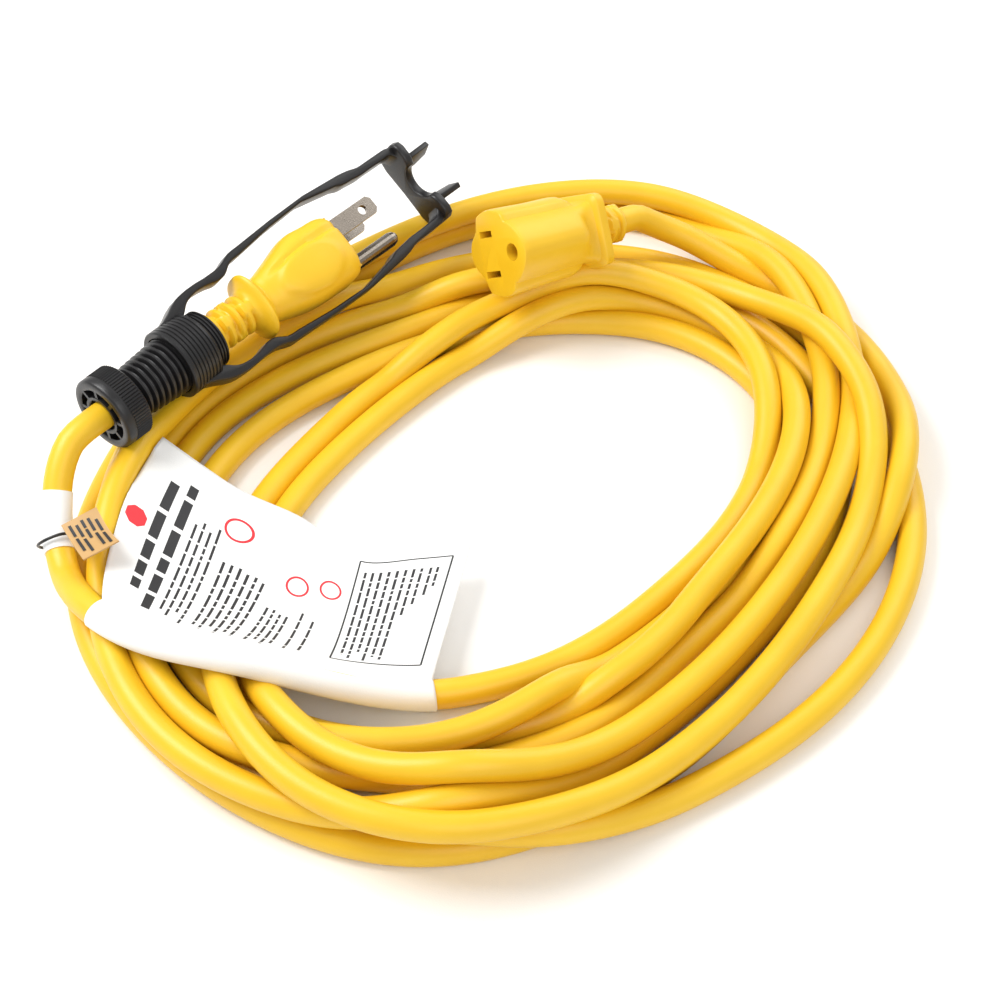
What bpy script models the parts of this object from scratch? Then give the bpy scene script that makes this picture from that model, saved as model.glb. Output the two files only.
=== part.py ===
"""Coiled three-wire extension cord with a plug lock: a Blender 4.5 script in metres, +Z up.

The floor is z = 0 and the coil's middle is the origin. The plug lock lies along +X.
A name that ends in _mm is in millimetres and is turned into metres by the mesh helpers.
"""
import math

import bmesh
import bpy
from mathutils import Matrix, Vector

MM = 0.001
GAP = 0.3                      # clearance between touching pieces

CORD_RADIUS = 4.25             # 16/3 round jacket, 8.5 mm across
COIL_HEIGHT = 17.0             # two strands, one on the other
COIL_INNER = [78, 64, 46, 42, 52, 66, 82, 73, 65, 61, 66, 82]
COIL_OUTER = [147, 138, 118, 109, 120, 126, 136, 136, 126, 125, 127, 132]

COIL_MIDDLE = (-5.5, 7.65, 0.0)   # puts the origin under the middle of the whole model

LOCK_AT = (-71.7, 93.4, 31.0)  # middle of the gland nut's front face
LOCK_ROLL = 36.0               # degrees about the lock's axis
PLUG_AT = 39.4                 # rear of the plug's strain relief, along the lock
PLUG_ROLL = 33.0
PLUG_YAW = -1.5
BLADE_SPACING = 12.7           # NEMA 5-15
PIN_OFFSET = 11.9

CONNECTOR_AT = (96.5, 34.0, 27.5)   # cord end of the connector's strain relief
CONNECTOR_YAW = 166.0
CONNECTOR_PITCH = 13.0
CONNECTOR_ROLL = 217.0

COLOURS = {
    "cord_yellow": ((0.80, 0.50, 0.03, 1), 0.45, 0.0),
    "lock_black": ((0.02, 0.02, 0.022, 1), 0.4, 0.0),
    "blade_metal": ((0.75, 0.72, 0.66, 1), 0.25, 1.0),
    "contact_brass": ((0.75, 0.55, 0.25, 1), 0.3, 1.0),
    "insert_white": ((0.75, 0.74, 0.70, 1), 0.5, 0.0),
    "wire_black": ((0.02, 0.02, 0.02, 1), 0.5, 0.0),
    "wire_white": ((0.8, 0.8, 0.78, 1), 0.5, 0.0),
    "wire_green": ((0.02, 0.25, 0.06, 1), 0.5, 0.0),
    "label_white": ((0.85, 0.85, 0.84, 1), 0.6, 0.0),
    "tag_tan": ((0.55, 0.40, 0.26, 1), 0.6, 0.0),
}


def clear_scene():
    for old in list(bpy.data.objects):
        bpy.data.objects.remove(old)


def new_collection(name):
    collection = bpy.data.collections.new(name)
    bpy.context.scene.collection.children.link(collection)
    return collection


def make_material(name):
    colour, roughness, metallic = COLOURS[name]
    material = bpy.data.materials.new(name)
    material.use_nodes = True
    shader = material.node_tree.nodes["Principled BSDF"]
    shader.inputs["Base Color"].default_value = colour
    shader.inputs["Roughness"].default_value = roughness
    shader.inputs["Metallic"].default_value = metallic
    material.diffuse_color = colour
    return material


def add_object(name, data, material, collection, parent=None):
    """Everything hangs from the middle of the coil, directly or through a frame of its own."""
    obj = bpy.data.objects.new(name, data)
    collection.objects.link(obj)
    if material:
        data.materials.append(materials[material])
    obj.parent = parent or coil_middle
    return obj


def add_frame(name, place, roll=0, pitch=0, yaw=0):
    """An empty that a piece is built on, its X axis along the piece."""
    frame = add_object(name, None, None, model)
    frame.location = [c * MM for c in place]
    frame.rotation_euler = [math.radians(angle) for angle in (roll, -pitch, yaw)]
    bpy.context.view_layer.update()
    return frame


# ---------------------------------------------------------------- shapes

def mesh_from(name, fill):
    """A mesh built by fill(bm) in millimetres, with its faces pointing outward."""
    bm = bmesh.new()
    fill(bm)
    bmesh.ops.recalc_face_normals(bm, faces=bm.faces)
    bmesh.ops.scale(bm, vec=(MM, MM, MM), verts=bm.verts)
    mesh = bpy.data.meshes.new(name)
    bm.to_mesh(mesh)
    bm.free()
    return mesh


def loft(bm, rings, closed=False):
    """Faces between rings of equal length, with both ends capped unless the rings close up."""
    rows = [[bm.verts.new(point) for point in ring] for ring in rings]
    pairs = list(zip(rows, rows[1:]))
    if closed:
        pairs.append((rows[-1], rows[0]))
    for first, second in pairs:
        for i in range(len(first)):
            j = (i + 1) % len(first)
            bm.faces.new((first[i], first[j], second[j], second[i]))
    if not closed:
        bm.faces.new(rows[0])
        bm.faces.new(rows[-1])


def box_mesh(name, low, high):
    def fill(bm):
        middle = [(a + b) / 2 for a, b in zip(low, high)]
        size = [b - a for a, b in zip(low, high)]
        bmesh.ops.create_cube(bm, size=1, matrix=Matrix.Translation(middle) @ Matrix.Diagonal((*size, 1)))
    return mesh_from(name, fill)


def rod_mesh(name, start, end, radius, segments=20):
    """A round bar along +X."""
    def fill(bm):
        place = Matrix.Translation(((start + end) / 2, 0, 0)) @ Matrix.Rotation(math.pi / 2, 4, "Y")
        bmesh.ops.create_cone(bm, cap_ends=True, segments=segments, radius1=radius, radius2=radius,
                              depth=end - start, matrix=place)
    return mesh_from(name, fill)


def turned(name, profile, material, collection, parent, steps=32):
    """A closed profile of (x, radius) points turned about the X axis."""
    mesh = bpy.data.meshes.new(name)
    points = [(x * MM, 0, radius * MM) for x, radius in reversed(profile)]
    edges = [(i, (i + 1) % len(points)) for i in range(len(points))]
    mesh.from_pydata(points, edges, [])
    obj = add_object(name, mesh, material, collection, parent)
    screw = obj.modifiers.new("turn", "SCREW")
    screw.axis = "X"
    screw.steps = screw.render_steps = steps
    screw.use_merge_vertices = True
    screw.merge_threshold = 1e-6
    return obj


def outline_mesh(name, loops, half_height, z=0.0):
    """A flat plate in XY from closed loops, the later loops being holes."""
    curve = bpy.data.curves.new(name, "CURVE")
    curve.dimensions = "2D"
    curve.fill_mode = "BOTH"
    curve.extrude = half_height * MM
    for loop in loops:
        spline = curve.splines.new("POLY")
        spline.points.add(len(loop) - 1)
        for point, (x, y) in zip(spline.points, loop):
            point.co = (x * MM, y * MM, 0, 1)
        spline.use_cyclic_u = True
    return curve_to_mesh(name, curve, z)


def curve_to_mesh(name, curve, z=0.0):
    temporary = bpy.data.objects.new(name, curve)
    bpy.context.scene.collection.objects.link(temporary)
    graph = bpy.context.evaluated_depsgraph_get()
    mesh = bpy.data.meshes.new_from_object(temporary.evaluated_get(graph))
    bpy.data.objects.remove(temporary)
    bm = bmesh.new()
    bm.from_mesh(mesh)
    bmesh.ops.remove_doubles(bm, verts=bm.verts, dist=1e-6)
    bmesh.ops.translate(bm, vec=(0, 0, z * MM), verts=bm.verts)
    bmesh.ops.recalc_face_normals(bm, faces=bm.faces)
    bm.to_mesh(mesh)
    bm.free()
    return mesh


def combine(obj, operation, meshes):
    """Boolean modifiers on obj, one for each mesh, in obj's own frame."""
    for i, mesh in enumerate(meshes):
        cutter = add_object(f"{obj.name}_{operation.lower()}_{i}", mesh, None, cutters, obj)
        cutter.hide_render = True
        cutter.display_type = "WIRE"
        change = obj.modifiers.new(cutter.name, "BOOLEAN")
        change.operation = operation
        change.solver = "EXACT"
        change.object = cutter


def arc(centre, radius, start, end, count):
    return [(centre[0] + radius * math.cos(math.radians(start + (end - start) * i / (count - 1))),
             centre[1] + radius * math.sin(math.radians(start + (end - start) * i / (count - 1))))
            for i in range(count)]


def smooth_route(points, per_span=5):
    """Points read from a Catmull-Rom curve through the route's own points."""
    route = [Vector(point) for point in points]
    padded = [2 * route[0] - route[1], *route, 2 * route[-1] - route[-2]]
    result = []
    for i in range(1, len(padded) - 2):
        a, b, c, d = padded[i - 1:i + 3]
        for k in range(per_span):
            t = k / per_span
            result.append(0.5 * ((2 * b) + (c - a) * t + (2 * a - 5 * b + 4 * c - d) * t * t
                                 + (3 * b - a - 3 * c + d) * t ** 3))
    result.append(route[-1])
    return result


def tube(name, route, radius, material, parent=None, resolution=2):
    """A round cord, wire or tie along a route, with filled caps."""
    curve = bpy.data.curves.new(name, "CURVE")
    curve.dimensions = "3D"
    curve.bevel_depth = radius * MM
    curve.bevel_resolution = resolution
    curve.use_fill_caps = True
    spline = curve.splines.new("POLY")
    spline.points.add(len(route) - 1)
    for point, place in zip(spline.points, route):
        point.co = (place[0] * MM, place[1] * MM, place[2] * MM, 1)
    return add_object(name, curve, material, model, parent)


# ---------------------------------------------------------------- cord

def coil_radius(values, angle):
    """Radius at an angle in degrees, smoothly between the twelve stations."""
    place = (angle % 360) / 30
    i, t = int(place), place % 1
    a, b, c, d = (values[(i + k) % 12] for k in (-1, 0, 1, 2))
    return 0.5 * (2 * b + (c - a) * t + (2 * a - 5 * b + 4 * c - d) * t ** 2
                  + (3 * b - a - 3 * c + d) * t ** 3)


def make_coil():
    """The outer shape of all the turns: a ring whose section is a low rounded bar."""
    def fill(bm):
        rings = []
        for step in range(48):
            angle = step * 7.5
            inner, outer = coil_radius(COIL_INNER, angle), coil_radius(COIL_OUTER, angle)
            middle, half = (inner + outer) / 2, (outer - inner) / 2
            section = []
            for corner in range(4):
                side = 1 if corner in (0, 3) else -1
                top = 1 if corner < 2 else -1
                centre = (middle + side * (half - 6), COIL_HEIGHT / 2 + top * (COIL_HEIGHT / 2 - 6))
                section += arc(centre, 6, corner * 90, corner * 90 + 90, 3)
            turn = math.radians(angle)
            rings.append([(r * math.cos(turn), r * math.sin(turn), z) for r, z in section])
        loft(bm, rings, closed=True)
    add_object("cord_coil", mesh_from("cord_coil", fill), "cord_yellow", model)


def make_leads():
    """The two stretches that aren't coiled: out of the plug, and out of the connector."""
    x, y, z = LOCK_AT
    plug_end = [(x + PLUG_AT - 2 * GAP, y, z), (x + 20, y, z), (x, y, z), (x - 9, y, z),
                (x - 18, y, z - 3), (x - 28, y - 4, z - 11), (x - 37, y - 13, z - 18),
                (x - 44, y - 24, z - 22), (x - 50, y - 36, z - 24)]
    route = smooth_route(plug_end)
    tube("cord_lead_plug", route, CORD_RADIUS, "cord_yellow", resolution=3)
    start, back = (connector_frame.matrix_local @ Vector((x * MM, 0, 0)) / MM for x in (-GAP, -9))
    other_end = [start, back, (116, 28, 22.6), (127, 21, 21.7), (134, 10, 21.7),
                 (137, -3, 21.7), (136, -16, 21.7), (130, -30, 21.7)]
    tube("cord_lead_connector", smooth_route(other_end), CORD_RADIUS, "cord_yellow", resolution=3)
    return route


# ---------------------------------------------------------------- plug

def oval(x, left, right, half, power=2.6, count=24):
    """A rounded section across X: left and right are its two half widths, half its half height."""
    ring = []
    for i in range(count):
        turn = 2 * math.pi * i / count
        c, s = math.cos(turn), math.sin(turn)
        width = left if c > 0 else right
        ring.append((x, math.copysign(abs(c) ** (2 / power), c) * width,
                     math.copysign(abs(s) ** (2 / power), s) * half))
    return ring


def ribbed_relief(start, ribs, pitch, low, high):
    """Sections of a strain relief: deep slots between round ribs."""
    rings = []
    for i in range(ribs):
        x = start + i * pitch
        for step, radius in ((0, low), (0.12, high), (0.62, high), (0.74, low)):
            rings.append(oval(x + step * pitch, radius, radius, radius, power=2))
    return rings


def make_plug(parent):
    def shell(bm):
        rings = ribbed_relief(0, 5, 3.8, 4.9, 6.1)
        rings += [oval(19.5, 6.4, 6.4, 6.4, 2), oval(21, 9, 9.5, 8.5), oval(23.5, 10.5, 11.2, 9.5),
                  oval(26, 8.5, 9.5, 8.5), oval(31, 10, 10.5, 9.6), oval(38, 11.4, 11.5, 10.4),
                  oval(48, 11.2, 11.8, 10.6), oval(57, 10.6, 11.8, 10.4), oval(58, 10, 11.2, 9.8)]
        loft(bm, rings)
    body = add_object("plug_body", mesh_from("plug_body", shell), "cord_yellow", model, parent)
    cavity = box_mesh("cavity", (30, -9, -8), (45, 8.2, 8))
    mouth = box_mesh("mouth", (44, -10.5, -8), (60, 9.4, 8))
    combine(body, "DIFFERENCE", [cavity, mouth])
    insert = add_object("plug_blade_carrier", box_mesh("insert", (52, -10.5 + GAP, -8 + GAP), (58, 9.4 - GAP, 8 - GAP)),
                        "insert_white", model, parent)
    blade_y = 4.2
    pin_y = blade_y - PIN_OFFSET
    slots = []
    for name, side, width in (("line", 1, 6.3), ("neutral", -1, 7.9)):
        z = side * BLADE_SPACING / 2
        plate = box_mesh(name, (44, blade_y - width / 2, z - 0.75), (76, blade_y + width / 2, z + 0.75))
        blade = add_object(f"plug_blade_{name}", plate, "blade_metal", model, parent)
        corners = []
        for edge in (-1, 1):
            wedge = box_mesh("chamfer", (-1.5, -1.5, -2), (1.5, 1.5, 2))
            wedge.transform(Matrix.Translation(((76.4 * MM), (blade_y + edge * (width / 2 + 0.4)) * MM, z * MM))
                            @ Matrix.Rotation(math.pi / 4, 4, "Z"))
            corners.append(wedge)
        hole = rod_mesh("hole", -2, 2, 1.6, 16)
        hole.transform(Matrix.Translation((71 * MM, blade_y * MM, z * MM)) @ Matrix.Rotation(math.pi / 2, 4, "Y"))
        combine(blade, "DIFFERENCE", [*corners, hole])
        slots.append(box_mesh("slot", (50, blade_y - width / 2 - GAP, z - 0.75 - GAP),
                              (60, blade_y + width / 2 + GAP, z + 0.75 + GAP)))

    def pin_shape(bm):
        rings = [oval(x, r, r, r, 2, 16) for x, r in
                 ((44, 2.4), (76.5, 2.4), (78, 2.0), (78.8, 1.3), (79.1, 0.5))]
        loft(bm, [[(x, y + pin_y, z) for x, y, z in ring] for ring in rings])
    add_object("plug_ground_pin", mesh_from("plug_ground_pin", pin_shape), "blade_metal", model, parent)
    bore = rod_mesh("bore", 50, 60, 2.4 + GAP, 16)
    bore.transform(Matrix.Translation((0, pin_y * MM, 0)))
    combine(insert, "DIFFERENCE", [*slots, bore])
    ends = {"black": (blade_y, BLADE_SPACING / 2), "white": (blade_y, -BLADE_SPACING / 2), "green": (pin_y, 0)}
    for colour, (y, z) in ends.items():
        route = [(31, y * 0.35, z * 0.35), (36, y * 0.5, z * 0.5), (40, y * 0.95, z * 0.95), (43.6, y, z)]
        tube(f"plug_wire_{colour}", smooth_route(route, 3), 1.2, f"wire_{colour}", parent)


# ---------------------------------------------------------------- connector

def make_connector(parent):
    def shell(bm):
        rings = ribbed_relief(0, 3, 3.6, 5.0, 6.2)
        rings += [oval(11.5, 6.6, 6.6, 6.6, 2), oval(12.5, 12, 12, 12), oval(15.5, 12.6, 12.6, 12.6),
                  oval(16.5, 11, 11, 11.5), oval(25, 11.5, 11.5, 12), oval(40, 12.5, 12.5, 13),
                  oval(46, 13.4, 13.4, 14), oval(48, 13, 13, 13.6)]
        loft(bm, rings)
    body = add_object("connector_body", mesh_from("connector_body", shell), "cord_yellow", model, parent)
    cavity = box_mesh("cavity", (22, -9.5, -9.5), (44, 9.5, 9.5))
    slots = []
    slot_y = 4.9
    hole_y = slot_y - PIN_OFFSET
    for side, width in ((-1, 7.2), (1, 8.8)):
        z = side * BLADE_SPACING / 2
        slots.append(box_mesh("slot", (42, slot_y - width / 2, z - 1.1), (52, slot_y + width / 2, z + 1.1)))
    round_hole = rod_mesh("hole", 42, 52, 2.8, 20)
    round_hole.transform(Matrix.Translation((0, hole_y * MM, 0)))
    pocket = rod_mesh("pocket", 26, 44, 3.3, 20)
    pocket.transform(Matrix.Translation((0, hole_y * MM, 0)))
    combine(body, "DIFFERENCE", [cavity, *slots, pocket, round_hole])
    add_object("connector_contact_carrier", box_mesh("carrier", (27, -9.2, -3.5), (43.6, -3.5 + 12.5, 3.5)),
               "insert_white", model, parent)
    carrier = bpy.data.objects["connector_contact_carrier"]
    well = rod_mesh("well", 30, 46, 3.7, 20)
    well.transform(Matrix.Translation((0, hole_y * MM, 0)))
    wide_well = box_mesh("wide_well", (30, -12, -2.9), (46, hole_y + 1.6, 2.9))
    combine(carrier, "DIFFERENCE", [wide_well, well])
    for name, side in (("line", -1), ("neutral", 1)):
        z = side * BLADE_SPACING / 2
        leaf = box_mesh(name, (28, slot_y - 3, z - 1.6), (43.2, slot_y + 3, z + 1.6))
        contact = add_object(f"connector_contact_{name}", leaf, "contact_brass", model, parent)
        combine(contact, "DIFFERENCE", [box_mesh("gap", (31, slot_y - 5, z - 0.7), (46, slot_y + 5, z + 0.7))])
    turned("connector_contact_ground", [(31, 3.0), (43.2, 3.0), (43.2, 2.5), (32, 2.5), (32, 0.6), (31, 0.6)],
           "contact_brass", model, parent, 16).location = (0, hole_y * MM, 0)
    ends = {"black": (slot_y, -BLADE_SPACING / 2, 27), "white": (slot_y, BLADE_SPACING / 2, 27),
            "green": (hole_y, 0, 25.6)}
    for colour, (y, z, end) in ends.items():
        route = [(22.6, y * 0.6, z * 0.7), (24.5, y * 0.8, z * 0.85), (end, y, z)]
        tube(f"connector_wire_{colour}", smooth_route(route, 3), 1.2, f"wire_{colour}", parent)


# ---------------------------------------------------------------- plug lock

CAGE_HEIGHT = 3.5              # half height of the arms
ARM = 2.8                      # thickness of the arms
CAGE_OUTSIDE = [(28, 10.6), (33, 11.4), (41, 14.7), (46, 15.3), (58, 15.1), (61, 15.6), (66, 16.8),
                (70, 17.0), (114, 17.0), (117, 16.6), (121, 15.5), (124, 15.35)]
BAR = (136.5, 139.5)          # near and far face of the end wall
NOTCH_Z = 4.6                  # middle and radius of the notch in the end wall
NOTCH_RADIUS = 5.6


def make_cage(parent):
    corner = arc((BAR[1] - 5.9, 9.2), 6, 90, 0, 5)
    half = CAGE_OUTSIDE + corner
    outer = half + [(x, -y) for x, y in reversed(half)]
    inside = [(43.5, 11.7), (46, 12.5)]
    inside += [(x, y - ARM) for x, y in CAGE_OUTSIDE[4:]] + arc((BAR[0] - 3.3, 9.2), 3.2, 90, 0, 4)
    inner = inside + [(x, -y) for x, y in reversed(inside)]
    plate = outline_mesh("plug_lock_cage", [outer, inner], CAGE_HEIGHT)
    cage = add_object("plug_lock_cage", plate, "lock_black", model, parent)
    notch = rod_mesh("notch", BAR[0] - 1, BAR[1] + 1, NOTCH_RADIUS + GAP, 32)
    notch.transform(Matrix.Translation((0, 0, NOTCH_Z * MM)))
    combine(cage, "DIFFERENCE", [notch])
    collar = rod_mesh("collar", 27.2, 38, 11.4, 40)
    bar = outline_mesh("bar", [bar_outline()], (BAR[1] - BAR[0]) / 2)
    bar.transform(Matrix.Translation(((BAR[0] + BAR[1]) / 2 * MM, 0, 0)) @ Matrix.Rotation(math.pi / 2, 4, "Z")
                  @ Matrix.Rotation(math.pi / 2, 4, "X"))
    prongs = []
    for side in (-1, 1):
        prong = outline_mesh("prong", [[(BAR[1] - 1, -3.2), (BAR[1] + 4, -2.6), (BAR[1] + 8.5, -1),
                                        (BAR[1] + 9.5, 3.2), (BAR[1] - 1, 2.8)]], 0.95)
        prong.transform(Matrix.Translation((0, side * 7.4 * MM, 1.2 * MM))
                        @ Matrix.Rotation(math.pi / 2 + side * math.radians(-22), 4, "X"))
        prongs.append(prong)
    combine(cage, "UNION", [collar, bar, *prongs])
    combine(cage, "DIFFERENCE", [rod_mesh("bore", 20, 45, 9.7, 36)])
    return cage


def bar_outline():
    """The far wall seen along the lock: tall at its round corners, with the notch for the mate's cord."""
    low = arc((10.0, -2.4), 5, 270, 360, 5)
    high = arc((12.0, 3.2), 3, 0, 90, 5)
    notch = arc((0, NOTCH_Z), NOTCH_RADIUS, 0, -90, 6)
    half = low + high + [(6.6, 6.2)] + notch
    return half + [(-y, z) for y, z in reversed(half[:-1])]


def ring_ribs(start, end, pitch, low, high, depth):
    """Ring ribs on a taper, as profile points."""
    points = []
    count = round((end - start) / pitch)
    for i in range(count):
        x = start + i * pitch
        radius = low + (high - low) * i / count
        points += [(x, radius - depth), (x + 0.25 * pitch, radius), (x + 0.7 * pitch, radius),
                   (x + 0.95 * pitch, radius - depth)]
    return points


def make_sleeve(parent):
    profile = [(4, 5.3), (4, 6.9)] + ring_ribs(4.5, 11.5, 1.75, 7.7, 7.7, 0.7)
    profile += ring_ribs(12, 27, 2.5, 7.7, 9.1, 1.0) + [(27.5, 9.2), (38.6, 9.2)]
    profile += ring_ribs(39, 43, 1.3, 9.4, 9.2, 0.5) + [(43.2, 7.5), (24, 7.5), (20, 5.3)]
    return turned("plug_lock_sleeve", profile, "lock_black", model, parent, 36)


def make_nut(parent):
    profile = [(0, 11.2), (0.8, 11.7), (9, 11.7), (9.6, 11.2), (9.6, 9.1), (2, 9.1), (2, 5.1), (0, 5.1)]
    nut = turned("gland_nut", profile, "lock_black", model, parent, 48)
    windows = []
    for i in range(8):
        window = box_mesh("window", (-1, 6.4, -1.3), (3, 8.4, 1.3))
        window.transform(Matrix.Rotation(math.radians(45 * i + 22.5), 4, "X"))
        windows.append(window)
    combine(nut, "DIFFERENCE", windows)
    return nut


def make_collet(parent):
    """A split ring that the nut presses on the cord."""
    loop = arc((0, 0), 6.9, 12, 348, 24) + arc((0, 0), 4.75, 348, 12, 24)
    ring = outline_mesh("gland_collet", [loop], 0.65)
    ring.transform(Matrix.Translation((3 * MM, 0, 0)) @ Matrix.Rotation(math.pi / 2, 4, "Y"))
    return add_object("gland_collet", ring, "insert_white", model, parent)


# ---------------------------------------------------------------- labels

def make_label():
    """The big flag label: a sheet that lies on the coil and sags into its middle."""
    near = [(-119, 50), (-107, 16), (-88, -10), (-71, -37)]
    far = [(-52, 84), (-54, 56), (-46, 18), (-28, -10)]

    def fill(bm):
        rows = []
        for step in range(10):
            place = step / 9 * 3
            i, t = min(int(place), 2), place - min(int(place), 2)
            a = [near[i][k] + (near[i + 1][k] - near[i][k]) * t for k in (0, 1)]
            b = [far[i][k] + (far[i + 1][k] - far[i][k]) * t for k in (0, 1)]
            row = []
            for across in range(7):
                x, y = (a[k] + (b[k] - a[k]) * across / 6 for k in (0, 1))
                edge = coil_radius(COIL_INNER, math.degrees(math.atan2(y, x))) - 2
                inside = max(0, edge - math.hypot(x, y))
                row.append(bm.verts.new((x, y, COIL_HEIGHT + 1.0 - 0.3 * inside)))
            rows.append(row)
        for first, second in zip(rows, rows[1:]):
            for i in range(6):
                bm.faces.new((first[i], first[i + 1], second[i + 1], second[i]))
    label = add_object("flag_label", mesh_from("flag_label", fill), "label_white", model)
    solid = label.modifiers.new("thickness", "SOLIDIFY")
    solid.thickness = 0.8 * MM
    solid.offset = 0


def sleeve_on_route(name, route, middle, length, inner, outer, material):
    """A thin printed wrap around a stretch of the cord."""
    chosen = [point for point in route if (point - middle).length < length / 2]

    def fill(bm):
        circles = {inner: [], outer: []}
        for i, point in enumerate(chosen):
            ahead = chosen[min(i + 1, len(chosen) - 1)] - chosen[max(i - 1, 0)]
            side = ahead.cross(Vector((0, 0, 1))).normalized()
            up = side.cross(ahead).normalized()
            for radius, rings in circles.items():
                rings.append([point + side * radius * math.cos(a) + up * radius * math.sin(a)
                              for a in (2 * math.pi * k / 20 for k in range(20))])
        loft(bm, circles[outer] + circles[inner][::-1], closed=True)
    return add_object(name, mesh_from(name, fill), material, model)


def make_tags(route):
    middle = Vector(LOCK_AT) + Vector((-37, -13, -18))
    sleeve_on_route("cord_tag_wrap", route, middle, 15, CORD_RADIUS + 0.35, CORD_RADIUS + 0.8, "label_white")
    flap = add_object("cord_tag_flap", box_mesh("flap", (-9.5, -4.5, -0.3), (9.5, 4.5, 0.3)), "tag_tan", model)
    flap.location = ((LOCK_AT[0] - 38) * MM, (LOCK_AT[1] - 30) * MM, 21 * MM)
    flap.rotation_euler = (0, 0, math.radians(-72))
    point = min(route, key=lambda p: (p - (middle + Vector((-5, -15, -6)))).length)
    i = route.index(point)
    ahead = (route[i + 1] - route[i - 1]).normalized()
    side = ahead.cross(Vector((0, 0, 1))).normalized()
    up = side.cross(ahead)
    loop = [point + ahead * (a / 200 - 0.8) + 5.6 * (side * math.cos(math.radians(a)) + up * math.sin(math.radians(a)))
            for a in range(30, 371, 20)]
    tube("tag_tie", loop, 0.5, "wire_black")


clear_scene()
materials = {name: make_material(name) for name in COLOURS}
model = new_collection("extension_cord")
cutters = new_collection("cutters")

coil_middle = bpy.data.objects.new("coil_middle", None)
coil_middle.location = [c * MM for c in COIL_MIDDLE]
model.objects.link(coil_middle)
lock_frame = add_frame("lock_frame", LOCK_AT, roll=LOCK_ROLL)
plug_frame = add_frame("plug_frame", (LOCK_AT[0] + PLUG_AT, LOCK_AT[1], LOCK_AT[2]), roll=PLUG_ROLL, yaw=PLUG_YAW)
connector_frame = add_frame("connector_frame", CONNECTOR_AT, CONNECTOR_ROLL, CONNECTOR_PITCH, CONNECTOR_YAW)

make_coil()
lead_route = make_leads()
make_plug(plug_frame)
make_connector(connector_frame)
make_cage(lock_frame)
make_sleeve(lock_frame)
make_nut(lock_frame)
make_collet(lock_frame)
make_label()
make_tags(lead_route)
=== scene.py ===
import math
import random

import bpy
import numpy as np
from mathutils import Matrix, Vector


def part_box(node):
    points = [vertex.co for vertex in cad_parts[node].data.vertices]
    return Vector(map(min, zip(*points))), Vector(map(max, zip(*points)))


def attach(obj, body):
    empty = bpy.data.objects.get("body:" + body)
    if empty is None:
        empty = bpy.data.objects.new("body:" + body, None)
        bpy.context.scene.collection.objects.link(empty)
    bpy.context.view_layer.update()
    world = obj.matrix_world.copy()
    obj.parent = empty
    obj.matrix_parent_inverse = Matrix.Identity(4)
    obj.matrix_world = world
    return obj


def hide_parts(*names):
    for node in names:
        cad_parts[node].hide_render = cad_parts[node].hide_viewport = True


# Lengths are in millimetres, and mm turns them into metres. Everything is placed from the lock's nut.
mm = 0.001

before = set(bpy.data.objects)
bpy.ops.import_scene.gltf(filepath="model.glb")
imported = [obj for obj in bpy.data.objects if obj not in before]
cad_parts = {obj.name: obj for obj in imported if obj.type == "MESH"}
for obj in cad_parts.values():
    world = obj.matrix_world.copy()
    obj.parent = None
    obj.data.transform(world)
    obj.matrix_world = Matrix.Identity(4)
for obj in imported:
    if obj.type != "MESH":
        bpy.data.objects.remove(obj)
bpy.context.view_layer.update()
nutLow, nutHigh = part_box("gland_nut")
lockAt = Vector((nutLow.x, (nutLow.y + nutHigh.y) / 2, (nutLow.z + nutHigh.z) / 2)) / mm
nutToMiddle = (71.7, -93.4)
coilMiddle = lockAt + Vector((*nutToMiddle, -lockAt.z))
lockInCoil = lockAt - coilMiddle
print("frame loaded, coil middle", [round(c, 2) for c in coilMiddle])

cord = {
    "radius": 4.25,
    "plugEnd": 39.4,        # rear of the plug's strain relief, along the lock
    "perTurn": 200,         # points in each turn
    "sides": 16,
    "length": 5.6,          # metres
}
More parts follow.
